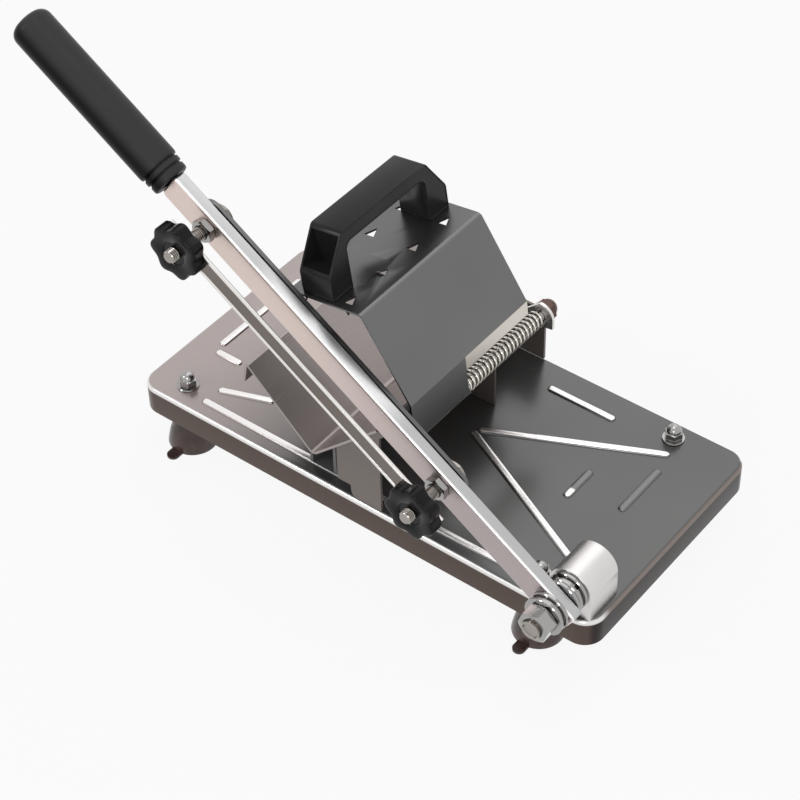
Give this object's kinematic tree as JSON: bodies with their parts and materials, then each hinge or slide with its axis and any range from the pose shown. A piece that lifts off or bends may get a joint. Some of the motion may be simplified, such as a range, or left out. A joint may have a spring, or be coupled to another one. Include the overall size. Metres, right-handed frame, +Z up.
{
  "type": "hand lever slicer",
  "caption": "Table-top hand-lever slicer: sheet-steel tray on suction feet, V trough, toothed spring-fed cover, and a lever with a knife and an adjustable stop rail.",
  "frame": {"origin": "on the table, under the middle of the box round the whole slicer at rest", "axes": "+X along the deck towards the lever's pivot, +Y from the knife to the back, +Z up"},
  "size_m": [0.3856, 0.2254, 0.3114],
  "materials": {
    "deck_steel": "polished sheet",
    "trough_steel": "polished sheet",
    "cover_steel": "polished sheet",
    "rail_steel": "polished sheet",
    "knife_steel": "ground",
    "spring_steel": "bright drawn wire",
    "bracket_aluminium": "satin",
    "lever_aluminium": "satin",
    "bright_hardware": "bright plated",
    "handle_plastic": "black, half gloss",
    "grip_plastic": "black, half gloss",
    "knob_plastic": "black, half gloss",
    "cup_rubber": "clear brown"
  },
  "bodies": {
    "frame": {"base_plate": "deck_steel", "pivot_bracket": "bracket_aluminium", "trough": "trough_steel", "trough_leg": "trough_steel", "front_plate": "trough_steel", "middle_plate": "trough_steel", "rear_plate": "trough_steel", "rear_lug": "trough_steel", "hinge_rod": "bright_hardware", "rod_cap_nut": "bright_hardware", "cover_spring": "spring_steel", "pivot_stud": "bright_hardware", "pivot_nut": "bright_hardware", "cup_front_left": "cup_rubber", "cup_stud_front_left": "bright_hardware", "cup_washer_front_left": "bright_hardware", "dome_nut_front_left": "bright_hardware", "cup_front_right": "cup_rubber", "cup_stud_front_right": "bright_hardware", "cup_washer_front_right": "bright_hardware", "dome_nut_front_right": "bright_hardware", "cup_back_left": "cup_rubber", "cup_stud_back_left": "bright_hardware", "cup_washer_back_left": "bright_hardware", "dome_nut_back_left": "bright_hardware", "cup_back_right": "cup_rubber", "cup_stud_back_right": "bright_hardware", "cup_washer_back_right": "bright_hardware", "dome_nut_back_right": "bright_hardware", "inner_washer_1": "bright_hardware", "inner_spring_washer_2": "bright_hardware", "inner_washer_3": "bright_hardware", "inner_washer_4": "bright_hardware", "outer_washer_1": "bright_hardware", "outer_spring_washer_2": "bright_hardware", "outer_washer_3": "bright_hardware"},
    "seat": {"spring_seat": "bright_hardware"},
    "hold_down": {"cover": "cover_steel", "cover_handle": "handle_plastic", "handle_screw_front": "bright_hardware", "handle_screw_rear": "bright_hardware"},
    "lever": {"lever_bar": "lever_aluminium", "grip": "grip_plastic", "blade": "knife_steel", "stud_near": "bright_hardware", "stud_far": "bright_hardware", "jam_nut_near": "bright_hardware", "jam_nut_far": "bright_hardware"},
    "guide": {"guide_rail": "rail_steel"},
    "knob_near_set": {"knob_near": "knob_plastic", "knob_sleeve_near": "bright_hardware"},
    "knob_far_set": {"knob_far": "knob_plastic", "knob_sleeve_far": "bright_hardware"}
  },
  "joints": [
    {"name": "lever_swing", "type": "hinge", "parent": "frame", "child": "lever", "pos_m": [0.17476, -0.07635, 0.0637], "axis": [0, 1, 0], "range_deg": [-33, 45]},
    {"name": "cover_slide", "type": "slide", "parent": "frame", "child": "seat", "axis": [0, 1, 0], "range_m": [0, 0.04], "stiffness_N_per_m": 600, "springref_m": -0.01, "deforming": ["cover_spring"]},
    {"name": "cover_swing", "type": "hinge", "parent": "seat", "child": "hold_down", "pos_m": [0.06576, -0.0394, 0.1212], "axis": [0, 1, 0], "range_deg": [-45, 95]},
    {"name": "guide_slide", "type": "slide", "parent": "lever", "child": "guide", "axis": [0, 1, 0], "range_m": [-0.0025, 0.0056]},
    {"name": "knob_far_turn", "type": "hinge", "parent": "guide", "child": "knob_far_set", "pos_m": [-0.06103, -0.1037, 0.21929], "axis": [0, 1, 0], "range_deg": [-722, 1622]},
    {"name": "knob_near_turn", "type": "hinge", "parent": "guide", "child": "knob_near_set", "pos_m": [0.09839, -0.1037, 0.1141], "axis": [0, 1, 0], "range_deg": [-722, 1622]}
  ],
  "couplings": [
    {"joint": "knob_far_turn", "follows": "guide_slide", "rad_per_m": 5026.5},
    {"joint": "knob_near_turn", "follows": "guide_slide", "rad_per_m": 5026.5}
  ]
}
